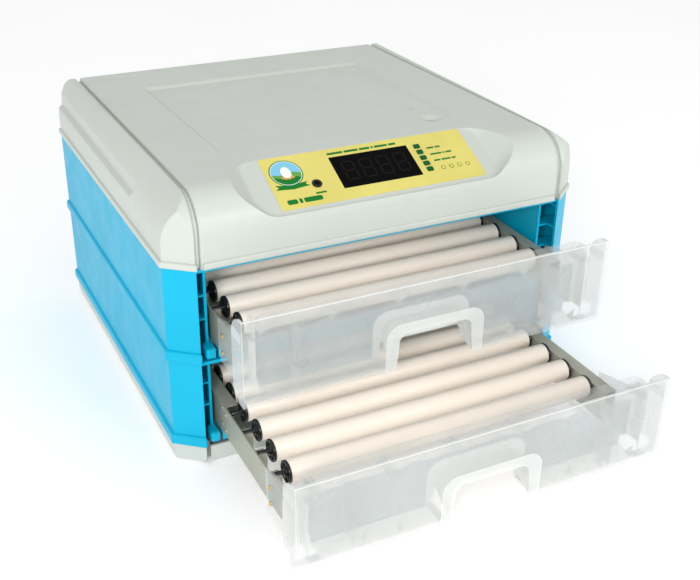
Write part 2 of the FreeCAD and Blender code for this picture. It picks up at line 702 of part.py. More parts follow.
def finger_pocket(offset, depth):
    """The arched hand hold's solid, grown sideways and upwards by offset."""
    half_low = 46.0 + offset
    half_top = 43.0 + offset
    top = 41.0 + offset
    r = 10.0 + offset
    outline = [V(-half_low, 0, -1), V(-half_top, 0, top - r)]
    left_arc = Part.Arc(outline[1], V(-half_top + 0.293 * r, 0, top - 0.293 * r),
                        V(-half_top + r, 0, top)).toShape()
    right_arc = Part.Arc(V(half_top - r, 0, top), V(half_top - 0.293 * r, 0, top - 0.293 * r),
                         V(half_top, 0, top - r)).toShape()
    edges = [Part.makeLine(outline[0], outline[1]), left_arc,
             Part.makeLine(V(-half_top + r, 0, top), V(half_top - r, 0, top)), right_arc,
             Part.makeLine(V(half_top, 0, top - r), V(half_low, 0, -1)),
             Part.makeLine(V(half_low, 0, -1), outline[0])]
    return Part.Face(Part.Wire(edges)).extrude(V(0, depth, 0))


def on_both_sides(solid):
    return [solid, mirrored(solid)]


def front_panel():
    """Translucent hollow drawer front with a hand hold, screw bosses, gussets and wings."""
    half = drawer_width / 2.0
    wall = front_wall
    plate = box(-half, half, 0, wall, 0, front_height)
    plate = rounded(plate, 4.0, lambda p: abs(abs(p.x) - half) < 0.1 and abs(p.y - wall / 2) < 0.1)
    side_wall = box(half - wall, half, 0, front_depth, 0, front_height)
    side_wall = rounded(side_wall, 24.0, lambda p: p.y > front_depth - 0.1
                        and p.z > front_height - 0.1 and abs(p.x - half + wall / 2) < 0.1)
    floor = box(-half, half, 0, front_depth, 0, wall)
    plug = round_rectangle(-plug_half_width, plug_half_width, 9, plug_depth, 8, 0, plug_top)
    plug = plug.cut(round_rectangle(-plug_half_width + wall, plug_half_width - wall, 0,
                                    plug_depth - wall, 6, wall, plug_top + 1))
    plug = plug.cut(box(-plug_half_width + 12, plug_half_width - 12, 0, plug_depth - wall,
                        wall, plug_top + 1))
    hold = finger_pocket(wall, plug_depth - 0.5).common(box(-90, 90, 0, 60, 0, 90))
    pieces = [plate, floor, plug, hold] + on_both_sides(side_wall)
    for step in range(boss_count):
        x = boss_pitch * (step - (boss_count - 1) / 2)
        boss = cylinder(5.0, (x, 1, boss_height), (0, 1, 0), plug_depth - 2)
        pieces.append(boss.cut(cylinder(1.6, (x, 6, boss_height), (0, 1, 0), plug_depth)))
    for step in range(gusset_count):
        x = gusset_pitch * (step - (gusset_count - 1) / 2)
        if abs(x) > 60:
            pieces.append(polygon_prism([(x, wall - 0.5, wall - 0.5), (x, wall - 0.5, 20),
                                         (x, 16, wall - 0.5)], (1.6, 0, 0)))
    pieces += on_both_sides(box(150, 151.8, 1, plug_depth - 1, 1, 70))
    wing = polygon_prism([(wing_inside_x, front_depth - 6, 12),
                          (wing_inside_x, front_depth - 6, 68),
                          (wing_inside_x, wing_end - 22, 58), (wing_inside_x, wing_end, 52),
                          (wing_inside_x, wing_end, 10), (wing_inside_x, wing_end - 4, 4),
                          (wing_inside_x, wing_end - 34, 2), (wing_inside_x, 40, 2)],
                         (wing_thickness, 0, 0))
    web = box(plug_half_width - 1, half - 1, front_depth - 6, front_depth - 3.6, 12, 68)
    pieces += on_both_sides(wing) + on_both_sides(web)
    hollow = finger_pocket(0, plug_depth - wall + 1)
    hollow.translate(V(0, -1, 0))
    underside = polygon_prism([(-49.5, -1, -2), (-49.5, plug_depth + 1, -2),
                               (-49.5, plug_depth + 1, 20), (-49.5, 0, 0), (-49.5, -1, 0)],
                              (99, 0, 0))
    notch = box(185.2, half + 1, 12.4, 39, -1, 12)
    return drilled(joined(pieces), [hollow, underside] + on_both_sides(notch))


def axle_lug(y):
    """A U-notched lug on the left rail that carries one roller's axle."""
    x0 = -rail_outer_x + rail_sheet
    lug = box(x0 - 0.3, x0 + 11.0, y - 5.5, y + 5.5, 13.0, roller_axis_height + 1.5)
    seat = cylinder(axle_radius + 0.06, (x0, y, roller_axis_height), (1, 0, 0), 14)
    mouth = box(x0, x0 + 13, y - axle_radius - 0.06, y + axle_radius + 0.06,
                roller_axis_height, roller_axis_height + 5)
    return lug.cut([seat, mouth])


def roller_positions():
    return [first_roller + roller_pitch * index for index in range(roller_count)]


def left_rail(start, end, flanged):
    """A piece of the left rail; the rear one also has a flange turned in over the axles."""
    outer = -rail_outer_x
    sheet = box(outer, outer + rail_sheet, start, end, rail_bottom, rail_top)
    pieces = [sheet]
    if flanged:
        pieces.append(box(outer, -rail_inner_x, start + 10, end, rail_top - rail_sheet, rail_top))
        pieces.append(box(outer, -rail_inner_x, end - rail_sheet, end, rail_bottom, rail_top))
    for y in roller_positions():
        if start + 4 < y < end - 4:
            pieces.append(axle_lug(y))
    return joined(pieces)


def left_rail_rear():
    return left_rail(rail_seam, rail_end, True)


def left_rail_front():
    """Front piece of the left rail, with a lap joggled inwards behind the rear piece."""
    front = left_rail(rail_start, rail_seam - 0.2, False)
    x0 = -rail_outer_x + rail_sheet
    lap = box(x0 + 0.05, x0 + 0.05 + rail_sheet, rail_seam - 12, rail_seam + 26,
              rail_bottom + 2, rail_top - 3)
    return joined([front, lap.cut(box(x0 - 1, x0 + 20, rail_seam - 0.1, rail_seam + 40,
                                      roller_axis_height - 10, roller_axis_height + 10)),
                   box(x0 - 0.5, x0 + 0.5, rail_seam - 12, rail_seam - 2,
                       rail_bottom + 2, rail_top - 3)])


def right_rail():
    """Folded channel over the chain: outer web, top flange and drilled inner web."""
    outer = rail_outer_x
    pieces = [box(outer - rail_sheet, outer, rail_start, rail_end, rail_bottom, rail_top),
              box(rail_inner_x, outer, rail_start, rail_end, rail_top - rail_sheet, rail_top),
              box(rail_inner_x, rail_inner_x + rail_sheet, rail_start, rail_end,
                  rail_bottom, rail_top),
              box(rail_inner_x, outer, rail_end - rail_sheet, rail_end, rail_bottom, rail_top)]
    channel = joined(pieces)
    tools = []
    for y in roller_positions():
        tools.append(cylinder(axle_radius + 0.06, (rail_inner_x - 1, y, roller_axis_height),
                              (1, 0, 0), 4))
        tools.append(box(rail_inner_x - 1, rail_inner_x + 3, y + 15.0, y + 18.0, 34, 39))
    tools.append(cylinder(6.0, (rail_inner_x - 1, motor_axis, drive_height), (1, 0, 0), 4))
    return channel.cut(tools)


def rear_bar():
    """Angle bar that ties the rear ends of the two rails together."""
    reach = rail_outer_x
    return joined([box(-reach, reach, rail_end + 0.05, rail_end + 0.05 + rail_sheet,
                       rail_bottom, rail_top),
                   box(-rail_inner_x + 1, rail_inner_x - 1, rail_end - 14, rail_end + 1,
                       rail_bottom, rail_bottom + rail_sheet)])


def turning_motor():
    """Geared motor that drives the chain: gearbox, can, bracket foot and output sprocket."""
    y = motor_axis
    z = drive_height
    gearbox_x = rail_inner_x - 28
    gearbox = round_rectangle(-16, 16, -16, 16, 4, 0, 26.0)
    gearbox.rotate(V(0, 0, 0), V(0, 1, 0), 90)
    gearbox.translate(V(gearbox_x, y + 2, z + 7.5))
    can = cylinder(13.5, (gearbox_x - 34, y + 2, z + 7.5), (1, 0, 0), 34.5)
    shaft = cylinder(3.0, (rail_inner_x - 3, y, z), (1, 0, 0), 10)
    sprocket = cylinder(drive_wheel_radius, (sprocket_x, y, z), (1, 0, 0), sprocket_thickness)
    return joined([gearbox, can, shaft, sprocket])


def drive_chain():
    """Chain loop under the roller wheels, drawn as one closed band, with its front idler."""
    z = drive_height
    y0 = first_roller
    y1 = motor_axis

    def loop(radius, x0, x1):
        middle = box(x0, x1, y0, y1, z - radius, z + radius)
        ends = [cylinder(radius, (x0, y, z), (1, 0, 0), x1 - x0) for y in (y0, y1)]
        return joined([middle] + ends)

    inner_radius = drive_wheel_radius + 0.2
    outside = loop(inner_radius + chain_thickness, sprocket_x + 0.2, sprocket_x + 2.8)
    band = outside.cut(loop(inner_radius, sprocket_x - 1, sprocket_x + 5))
    idler = cylinder(drive_wheel_radius, (sprocket_x, y0, z), (1, 0, 0), sprocket_thickness)
    pivot = cylinder(2.0, (sprocket_x, y0, z), (1, 0, 0),
                     rail_outer_x - rail_sheet - 0.02 - sprocket_x)
    return Part.makeCompound([band, joined([idler, pivot])])


def screw_head(x, y, z, side, radius, height):
    """A slotted dome head lying against a face whose outward side is +x or -x."""
    head = cylinder(radius, (x, y, z), (side, 0, 0), height)
    top = x + side * height
    slot = box(min(top, top - side * 0.6), max(top, top - side * 0.6), y - radius + 0.5,
               y + radius - 0.5, z - 0.4, z + 0.4)
    return head.cut(slot)


def drawer_screws():
    """Wing screws on both sides, lap rivets on the left, and the rear bar's screws."""
    pieces = []
    wing_face = wing_inside_x + wing_thickness + 0.02
    for side in (-1, 1):
        for z in (36.0, 16.0):
            pieces.append(screw_head(side * wing_face, wing_end - 12, z, side, 2.6, 1.3))
    rail_face = -(rail_outer_x + 0.02)
    for y, z in ((rail_seam + 8, 38.0), (rail_seam + 18, 42.0), (rail_seam + 8, 18.0),
                 (rail_seam + 18, 22.0)):
        pieces.append(screw_head(rail_face, y, z, -1, 2.2, 1.0))
    for x in (-194.0, 194.0):
        for z in (20.0, 38.0):
            pieces.append(cylinder(2.6, (x, rail_end + 0.07 + rail_sheet, z), (0, 1, 0), 1.4))
    return Part.makeCompound(pieces)


def roller(y):
    """Plastic tube, two black end caps with axles, and the drive sprocket on the right one."""
    z = roller_axis_height
    tube = cylinder(roller_radius, (-roller_half_length, y, z), (1, 0, 0), 2 * roller_half_length)
    bore_radius = roller_radius - tube_wall
    tube = tube.cut(cylinder(bore_radius, (-200, y, z), (1, 0, 0), 400))
    caps = []
    for side in (-1, 1):
        start = side * (roller_half_length + 0.02)
        flange = cylinder(roller_radius + 0.3, (start, y, z), (side, 0, 0), cap_thickness)
        plug = cylinder(bore_radius - 0.02, (start, y, z), (-side, 0, 0), 14.0)
        hub = cylinder(5.0, (start, y, z), (side, 0, 0), cap_thickness + 1.2)
        end = rail_outer_x - rail_sheet - 0.3
        axle = cylinder(axle_radius, (start, y, z), (side, 0, 0), end - abs(start))
        cap = joined([flange, plug, hub, axle])
        if side > 0:
            cap = joined([cap, roller_sprocket(y, z)])
        caps.append(cap)
    return Part.makeCompound([tube] + caps)


def roller_sprocket(y, z):
    """Ten-pointed chain wheel."""
    points = []
    for step in range(20):
        radius = roller_wheel_radius if step % 2 == 0 else roller_wheel_radius - 0.7
        angle = 2 * math.pi * step / 20
        points.append((sprocket_x, y + radius * math.cos(angle), z + radius * math.sin(angle)))
    return polygon_prism(points, (sprocket_thickness, 0, 0))


# ---------------------------------------------------------------- write every node
def cabinet_nodes():
    left_cap = side_cap()
    nodes = {
        "base_tray": base_tray(),
        "water_tray": water_tray(),
        "lower_shell": cabinet_layer("lower"),
        "upper_shell": cabinet_layer("upper"),
        "top_cover": top_cover(),
        "left_side_cap": left_cap,
        "right_side_cap": mirrored(left_cap),
        "inner_ceiling": inner_ceiling(),
        "control_label": control_label(),
        "display_window": display_window(),
        "dc_jack": dc_jack(),
        "mains_inlet": mains_inlet(),
        "controller_board": controller_board(),
        "power_supply": power_supply(),
        "fan_frame": fan_frame(),
        "fan_rotor": fan_rotor(),
        "fan_guard": fan_guard(),
        "heater": heater(),
        "sensor_probe": sensor_probe(),
        "candler_lens": candler_lens(),
        "ceiling_screws": ceiling_screws(),
    }
    for number, slope in enumerate(button_slopes, start=1):
        nodes["button_%d" % number] = push_button(slope)
    return nodes


def drawer_nodes(drawer):
    shapes = {
        "front": front_panel(),
        "left_rail_front": left_rail_front(),
        "left_rail_rear": left_rail_rear(),
        "right_rail": right_rail(),
        "rear_bar": rear_bar(),
        "turning_motor": turning_motor(),
        "drive_chain": drive_chain(),
        "screws": drawer_screws(),
    }
    for number, y in enumerate(roller_positions(), start=1):
        shapes["roller_%d" % number] = roller(y)
    return {drawer + "_" + name: place(shape, drawer) for name, shape in shapes.items()}


def main():
    os.makedirs("parts", exist_ok=True)
    nodes = cabinet_nodes()
    nodes.update(drawer_nodes("upper"))
    nodes.update(drawer_nodes("lower"))
    for name, shape in nodes.items():
        shape.exportStep("parts/" + name + ".step")


main()
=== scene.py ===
import json
import math
import bmesh
import bpy
from mathutils import Matrix, Vector


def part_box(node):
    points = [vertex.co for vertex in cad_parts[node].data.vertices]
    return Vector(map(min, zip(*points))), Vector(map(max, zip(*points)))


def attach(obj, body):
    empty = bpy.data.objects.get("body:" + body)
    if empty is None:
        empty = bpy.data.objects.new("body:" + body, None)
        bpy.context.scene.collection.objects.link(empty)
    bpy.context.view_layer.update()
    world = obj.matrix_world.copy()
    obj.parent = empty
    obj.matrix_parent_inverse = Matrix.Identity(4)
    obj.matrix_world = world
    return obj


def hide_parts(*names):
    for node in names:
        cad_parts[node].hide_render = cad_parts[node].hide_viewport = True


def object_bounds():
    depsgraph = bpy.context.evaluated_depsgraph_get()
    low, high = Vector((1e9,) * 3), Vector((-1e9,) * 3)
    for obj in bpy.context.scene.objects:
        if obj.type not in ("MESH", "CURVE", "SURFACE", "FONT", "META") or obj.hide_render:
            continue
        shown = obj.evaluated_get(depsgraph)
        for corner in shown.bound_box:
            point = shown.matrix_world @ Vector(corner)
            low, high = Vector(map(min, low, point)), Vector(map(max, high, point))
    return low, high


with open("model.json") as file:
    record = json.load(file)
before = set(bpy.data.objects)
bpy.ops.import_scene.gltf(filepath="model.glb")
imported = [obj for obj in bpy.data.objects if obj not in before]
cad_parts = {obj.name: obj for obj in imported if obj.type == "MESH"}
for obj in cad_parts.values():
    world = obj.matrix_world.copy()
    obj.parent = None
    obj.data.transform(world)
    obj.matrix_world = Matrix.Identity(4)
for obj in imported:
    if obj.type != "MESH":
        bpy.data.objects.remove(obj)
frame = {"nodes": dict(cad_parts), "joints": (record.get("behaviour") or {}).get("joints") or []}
box_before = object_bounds()

# ------------------------------------------------------------------ camera values
CAMERA_PLACE = Vector((-0.5045, -1.1319, 0.7090))
CAMERA_AZIMUTH = math.radians(26.324)
CAMERA_ELEVATION = math.radians(27.808)
CAMERA_ROLL = math.radians(0.692)
FOCAL_LENGTH = 53.68
SHIFT_X = 0.0163
SHIFT_Y = -0.0027

# ------------------------------------------------------------------ shared sizes, metres
MM = 0.001
PANEL_SLOPE = math.radians(25.3)
DRAWERS = ("upper", "lower")
ROLLERS = range(1, 10)
KEYS = range(1, 6)

# a drawer front, measured from its own front face, lower edge and middle
HOLD_CORNER_X = 0.0405       # centre of the hand hold's round corner
HOLD_CORNER_Z = 0.0355
HOLD_REACH = 0.018           # the hold's thick rim ends this far from the corner's centre
TOP_EDGE_Z = 0.0948
END_WALL_X = 0.2125
PLUG_X = 0.199               # half width of the rear wall
PLUG_END_X = 0.1855
PLUG_END_Z = 0.064
REAR_WALL_Y = 0.0287
BETWEEN_WALLS_Y = (0.0028, 0.0285)
SHADOW_LINE_Z = 0.060        # below it the rear wall is in the shade of the trough
GUSSET_Z = (0.0027, 0.0215)
BOSS_Z = (0.0705, 0.0815)

# a roller about its axis, and its screws and rivets, millimetres
ROLLER_HALF = 181.0
ROLLER_RADIUS = 12.0
ROLLER_BORE = 10.2
CAP_RADIUS = 12.3
AXLE_RADIUS = 3.0
AXLE_END = 199.6
WHEEL_TIP = 4.1
WHEEL_ROOT = 3.4
WHEEL_X = (190.6, 193.4)
WHEEL_TEETH = 10
WING_FACE_X = 204.12
RAIL_FACE_X = 201.52
WING_SCREW_Y = 82.0
LAP_RIVETS = ((213.0, 38.0), (223.0, 42.0), (213.0, 18.0), (223.0, 22.0))
BAR_RIVET_X = 194.0

NODES = frame["nodes"]
COLLECTION = bpy.context.scene.collection


# ------------------------------------------------------------------ materials
class Shader:
    """A Principled material under construction, with short calls for the usual nodes."""

    def __init__(self, name):
        self.material = bpy.data.materials.new(name)
        self.material.use_nodes = True
        self.tree = self.material.node_tree
        self.surface = self.tree.nodes["Principled BSDF"]
        self.place = self.add("ShaderNodeTexCoord").outputs["Object"]

    def add(self, kind, **settings):
        node = self.tree.nodes.new(kind)
        for key, value in settings.items():
            setattr(node, key, value)
        return node

    def link(self, source, target):
        self.tree.links.new(source, target)

    def set(self, **values):
        for key, value in values.items():
            self.surface.inputs[key.replace("_", " ")].default_value = value

    def noise(self, scale, detail=3.0, roughness=0.5, stretch=None):
        node = self.add("ShaderNodeTexNoise")
        node.inputs["Scale"].default_value = scale
        node.inputs["Detail"].default_value = detail
        node.inputs["Roughness"].default_value = roughness
        source = self.place
        if stretch is not None:
            mapping = self.add("ShaderNodeMapping")
            mapping.inputs["Scale"].default_value = stretch
            self.link(source, mapping.inputs["Vector"])
            source = mapping.outputs["Vector"]
        self.link(source, node.inputs["Vector"])
        return node.outputs["Fac"]

    def between(self, factor, low, high):
        node = self.add("ShaderNodeMapRange")
        node.inputs["From Min"].default_value = 0.3
        node.inputs["From Max"].default_value = 0.7
        node.inputs["To Min"].default_value = low
        node.inputs["To Max"].default_value = high
        self.link(factor, node.inputs["Value"])
        return node.outputs["Result"]

    def compute(self, operation, first, second=0.0):
        node = self.add("ShaderNodeMath", operation=operation)
        for socket, value in zip(node.inputs, (first, second)):
            if isinstance(value, float):
                socket.default_value = value
            else:
                self.link(value, socket)
        return node.outputs["Value"]

    def mix(self, factor, first, second):
        node = self.add("ShaderNodeMix", data_type="RGBA")
        for socket, color in (("A", first), ("B", second)):
            if isinstance(color, tuple):
                node.inputs[socket].default_value = color + (1.0,)
            else:
                self.link(color, node.inputs[socket])
        self.link(factor, node.inputs["Factor"])
        return node.outputs["Result"]

    def relief(self, height, strength, distance, soft_edge=0.0):
        bump = self.add("ShaderNodeBump")
        bump.inputs["Strength"].default_value = strength
        bump.inputs["Distance"].default_value = distance
        self.link(height, bump.inputs["Height"])
        if soft_edge > 0.0:
            bevel = self.add("ShaderNodeBevel", samples=4)
            bevel.inputs["Radius"].default_value = soft_edge
            self.link(bevel.outputs["Normal"], bump.inputs["Normal"])
        self.link(bump.outputs["Normal"], self.surface.inputs["Normal"])


def shade(color, factor):
    return tuple(min(1.0, channel * factor) for channel in color)


def moulded(name, color, roughness, grain=900.0, depth=0.00006, soft_edge=0.0009,
            variation=0.05):
    """Injection-moulded plastic: fine spark-eroded grain and slow drifts of tone and gloss."""
    s = Shader(name)
    drift = s.noise(7.0, 4.0)
    tone = s.mix(s.between(drift, 0.0, 1.0), shade(color, 1.0 - variation),
                 shade(color, 1.0 + variation))
    s.link(tone, s.surface.inputs["Base Color"])
    s.link(s.between(s.noise(35.0, 5.0), roughness - 0.05, roughness + 0.07),
           s.surface.inputs["Roughness"])
    s.relief(s.noise(grain, 2.0), 0.35, depth, soft_edge)
    return s


def sheet_metal(name, color, roughness, metallic, along):
    """Rolled or brushed sheet, with fine scratches that run along one axis."""
    s = Shader(name)
    stretch = [260.0, 260.0, 260.0]
    stretch[along] = 5.0
    lines = s.noise(6.0, 4.0, 0.6, stretch)
    blotches = s.noise(14.0, 4.0)
    tone = s.mix(s.between(blotches, 0.0, 1.0), shade(color, 0.86), shade(color, 1.08))
    s.link(tone, s.surface.inputs["Base Color"])
    s.link(s.between(lines, roughness - 0.08, roughness + 0.12), s.surface.inputs["Roughness"])
    s.set(Metallic=metallic)
    s.relief(lines, 0.25, 0.00004, 0.0004)
    return s


def make_materials():
    m = {}
    m["cover"] = moulded("cover_plastic", (0.545, 0.585, 0.535), 0.36, soft_edge=0.002,
                         variation=0.02)
    m["blue"] = moulded("blue_plastic", (0.0, 0.430, 0.660), 0.36, variation=0.05, grain=700.0)
    m["blue"].set(Specular_IOR_Level=0.25)
    m["base"] = moulded("base_plastic", (0.56, 0.60, 0.575), 0.42)
    m["white"] = moulded("white_plastic", (0.78, 0.78, 0.75), 0.4)
    m["tray"] = moulded("tray_plastic", (0.72, 0.73, 0.70), 0.25)
    m["black"] = moulded("black_plastic", (0.008, 0.008, 0.009), 0.32, variation=0.2)
    m["black"].set(Specular_IOR_Level=0.3)
    m["roller"] = moulded("roller_plastic", (0.95, 0.850, 0.745), 0.36, grain=350.0,
                          depth=0.00005, soft_edge=0.0, variation=0.025)
    m["roller"].set(Subsurface_Weight=0.15, Subsurface_Scale=0.003,
                    Subsurface_Radius=(1.0, 0.8, 0.6))
    m["cap"] = moulded("roller_cap_plastic", (0.010, 0.010, 0.011), 0.2, variation=0.2)
    m["key"] = moulded("key_rubber", (0.001, 0.100, 0.018), 0.5, variation=0.1)
    m["key"].set(Specular_IOR_Level=0.15)
    m["rail"] = sheet_metal("rail_steel", (0.42, 0.42, 0.345), 0.42, 0.3, 1)
    m["bar"] = sheet_metal("bar_steel", (0.42, 0.42, 0.345), 0.42, 0.3, 0)
    m["steel"] = sheet_metal("bright_steel", (0.62, 0.62, 0.62), 0.3, 1.0, 0)
    m["case"] = sheet_metal("case_steel", (0.55, 0.56, 0.57), 0.38, 0.9, 1)
    m["chain"] = sheet_metal("chain_steel", (0.30, 0.30, 0.30), 0.4, 0.9, 1)
    m["brass"] = sheet_metal("brass", (0.70, 0.48, 0.16), 0.28, 1.0, 2)
    m["board"] = moulded("circuit_board", (0.012, 0.115, 0.045), 0.35, grain=260.0)
    for d in DRAWERS:
        m[d + "_front"] = milky_plastic(d)
    m["lens"] = clear_plastic()
    m["display"] = dark_window()
    m["label"] = printed_foil("label_foil", (0.690, 0.610, 0.150))
    m["ink_green"] = printed_foil("label_green_ink", (0.004, 0.175, 0.022))
    m["ink_green"].set(Specular_IOR_Level=0.15)
    m["ink_light"] = printed_foil("label_light_ink", (0.85, 0.88, 0.80))
    m["ink_sky"] = printed_foil("label_sky_ink", (0.20, 0.52, 0.72))
    m["ink_leaf"] = printed_foil("label_leaf_ink", (0.105, 0.330, 0.055))
    m["ink_straw"] = printed_foil("label_straw_ink", (0.620, 0.330, 0.080))
    m["segment"] = printed_foil("display_segments", (0.011, 0.010, 0.009))
    m["segment"].set(Specular_IOR_Level=0.03)
    return m


def milky_plastic(drawer):
    """Natural polypropylene of one drawer front: cloudy, and denser where walls lie edge on.
    Painted shade: the rear wall is tinted darker bluish grey, and darker and denser still below a
    wavy line; painted highlight: the top rim is painted whiter and denser.

    Only the side of a wall that faces the eye is cloudy, so each wall veils what is behind it once.
    """
    s = Shader(drawer + "_milky_plastic")
    low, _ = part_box(drawer + "_front")
    axes = s.add("ShaderNodeSeparateXYZ")
    s.link(s.place, axes.inputs["Vector"])
    across = s.compute("ABSOLUTE", axes.outputs["X"])
    depth = s.compute("SUBTRACT", axes.outputs["Y"], low.y)
    height = s.compute("SUBTRACT", axes.outputs["Z"], low.z)

    past_side = s.compute("MAXIMUM", s.compute("SUBTRACT", across, HOLD_CORNER_X), 0.0)
    past_top = s.compute("MAXIMUM", s.compute("SUBTRACT", height, HOLD_CORNER_Z), 0.0)
    from_hold = s.compute("SQRT", s.compute("ADD", s.compute("MULTIPLY", past_side, past_side),
                                            s.compute("MULTIPLY", past_top, past_top)))
    hand_hold = s.compute("LESS_THAN", from_hold, HOLD_REACH)
    # painted highlight: the top rim is painted whiter and denser for the highlight along its
    # rounded edge
    top_edge_highlight = s.compute("GREATER_THAN", height, TOP_EDGE_Z)
    end_wall = s.compute("GREATER_THAN", across, END_WALL_X)

    def within(value, first, last):
        return s.compute("MULTIPLY", s.compute("GREATER_THAN", value, first),
                         s.compute("LESS_THAN", value, last))

    in_plug = s.compute("LESS_THAN", across, PLUG_X)
    rear_wall = s.compute("MULTIPLY", s.compute("GREATER_THAN", depth, REAR_WALL_Y), in_plug)
    # painted shade: below this wavy line the rear wall is painted darker and denser for the shade
    # of the trough
    shadow_line = s.compute("ADD", height, s.between(s.noise(60.0, 3.0), -0.0025, 0.0025))
    painted_shade_low_on_rear_wall = s.compute("MULTIPLY", rear_wall,
                          s.compute("LESS_THAN", shadow_line, SHADOW_LINE_Z))
    between_walls = within(depth, *BETWEEN_WALLS_Y)
    gussets = s.compute("MULTIPLY", between_walls,
                        s.compute("MULTIPLY", within(height, *GUSSET_Z), in_plug))
    bosses = s.compute("MULTIPLY", between_walls, within(height, *BOSS_Z))
    plug_ends = s.compute("MULTIPLY", between_walls,
                          s.compute("MULTIPLY", within(across, PLUG_END_X, PLUG_X),
                                    s.compute("LESS_THAN", height, PLUG_END_Z)))

    cloud = s.noise(18.0, 5.0)
    plain = s.mix(s.between(cloud, 0.0, 1.0), (0.60, 0.62, 0.60), (0.65, 0.67, 0.655))
    # painted shade: the rear wall seen through the front is tinted darker bluish grey for the shade
    # inside the drawer
    behind = s.mix(rear_wall, plain, (0.55, 0.585, 0.59))
    tone_with_painted_shade = s.mix(painted_shade_low_on_rear_wall, behind, (0.36, 0.415, 0.445))
    # the top rim's whiter tone is a painted highlight; the hand hold, gussets and plug ends are
    # whiter where walls lie edge on
    light = s.compute("MAXIMUM", s.compute("MAXIMUM", hand_hold, top_edge_highlight),
                      s.compute("MAXIMUM", gussets, plug_ends))
    tone = s.mix(light, tone_with_painted_shade, (0.70, 0.72, 0.70))
    s.link(tone, s.surface.inputs["Base Color"])
    s.link(s.between(s.noise(30.0, 4.0), 0.24, 0.36), s.surface.inputs["Roughness"])

    # the painted shade low on the rear wall is also made much denser, a dark sheet for the trough's
    # shade; the top rim is made denser for its painted highlight
    density = s.between(s.noise(11.0, 4.0), 0.38, 0.43)
    for zone, more in ((hand_hold, 0.34), (top_edge_highlight, 0.42), (end_wall, 0.24), (rear_wall, -0.12),
                       (painted_shade_low_on_rear_wall, 0.46), (gussets, 0.40), (bosses, 0.24), (plug_ends, 0.42)):
        density = s.compute("ADD", density, s.compute("MULTIPLY", zone, more))
    facing = s.compute("SUBTRACT", 1.0, s.add("ShaderNodeNewGeometry").outputs["Backfacing"])
    s.link(s.compute("MULTIPLY", s.compute("MINIMUM", density, 0.9), facing),
           s.surface.inputs["Alpha"])
    s.relief(s.noise(420.0, 2.0), 0.3, 0.00005)
    return s


def clear_plastic():
    s = Shader("clear_plastic")
    s.link(s.between(s.noise(60.0), 0.08, 0.16), s.surface.inputs["Roughness"])
    s.set(Base_Color=(0.86, 0.90, 0.86, 1.0), IOR=1.46, Transmission_Weight=0.85)
    s.relief(s.noise(500.0), 0.2, 0.00005)
    return s


def dark_window():
    """Smoked acrylic over an unlit display."""
    s = Shader("display_window")
    specks = s.noise(900.0, 1.0)
    tone = s.mix(s.between(specks, 0.0, 1.0), (0.001, 0.001, 0.001), (0.004, 0.004, 0.004))
    s.link(tone, s.surface.inputs["Base Color"])
    s.link(s.between(s.noise(40.0, 4.0), 0.10, 0.17), s.surface.inputs["Roughness"])
    s.set(Specular_IOR_Level=0.03)
    s.relief(s.noise(120.0), 0.05, 0.00004)
    return s


def printed_foil(name, color):
    """Satin polycarbonate foil, printed on the back."""
    s = Shader(name)
    tone = s.mix(s.between(s.noise(24.0, 4.0), 0.0, 1.0), shade(color, 0.95), shade(color, 1.04))
    s.link(tone, s.surface.inputs["Base Color"])
    s.link(s.between(s.noise(50.0, 3.0), 0.30, 0.40), s.surface.inputs["Roughness"])
    s.relief(s.noise(1500.0, 1.0), 0.25, 0.00003)
    return s


MATERIALS = make_materials()


def material(name):
    return MATERIALS[name].material


def dress(node, name):
    """Give a CAD node its material."""
    data = NODES[node].data
    data.materials.clear()
    data.materials.append(material(name))


# ------------------------------------------------------------------ mesh helpers
def new_piece(name, bm, names, body):
    """Turn a bmesh into an object with these materials that rides on a body."""
    mesh = bpy.data.meshes.new(name)
    bm.to_mesh(mesh)
    bm.free()
    for material_name in names:
        mesh.materials.append(material(material_name))
    piece = bpy.data.objects.new(name, mesh)
    COLLECTION.objects.link(piece)
    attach(piece, body)
    return piece


def lathe(bm, profile, segments, index=0):
    """Turn (x, radius) pairs about the X axis; a pair with radius 0 closes the end."""
    rings = []
    for x, radius in profile:
        if radius <= 0.0:
            rings.append([bm.verts.new((x, 0.0, 0.0))])
            continue
        rings.append([bm.verts.new((x, radius * math.cos(2 * math.pi * k / segments),
                                    radius * math.sin(2 * math.pi * k / segments)))
                      for k in range(segments)])
    for first, second in zip(rings, rings[1:]):
        for k in range(segments):
            n = (k + 1) % segments
            corners = [first[k % len(first)], first[n % len(first)],
                       second[n % len(second)], second[k % len(second)]]
            unique = list(dict.fromkeys(corners))
            if len(unique) < 3:
                continue
            face = bm.faces.new(unique)
            face.material_index = index
            face.smooth = True


def slab(bm, outline, z0, z1, index=0):
    """A flat piece: outline points (x, y) lifted from z0 to z1."""
    bottom = [bm.verts.new((x, y, z0)) for x, y in outline]
    top = [bm.verts.new((x, y, z1)) for x, y in outline]
    count = len(outline)
    faces = [bm.faces.new(top), bm.faces.new(bottom[::-1])]
    for k in range(count):
        n = (k + 1) % count
        faces.append(bm.faces.new((bottom[k], bottom[n], top[n], top[k])))
    for face in faces:
        face.material_index = index


def rounded_outline(x0, x1, y0, y1, radius, steps=5):
    points = []
    for cx, cy, start in ((x1 - radius, y1 - radius, 0), (x0 + radius, y1 - radius, 90),
                          (x0 + radius, y0 + radius, 180), (x1 - radius, y0 + radius, 270)):
        for k in range(steps + 1):
            angle = math.radians(start + 90 * k / steps)
            points.append((cx + radius * math.cos(angle), cy + radius * math.sin(angle)))
    return points


def circle_outline(x, y, radius_x, radius_y, count=40):
    return [(x + radius_x * math.cos(2 * math.pi * k / count),
             y + radius_y * math.sin(2 * math.pi * k / count)) for k in range(count)]


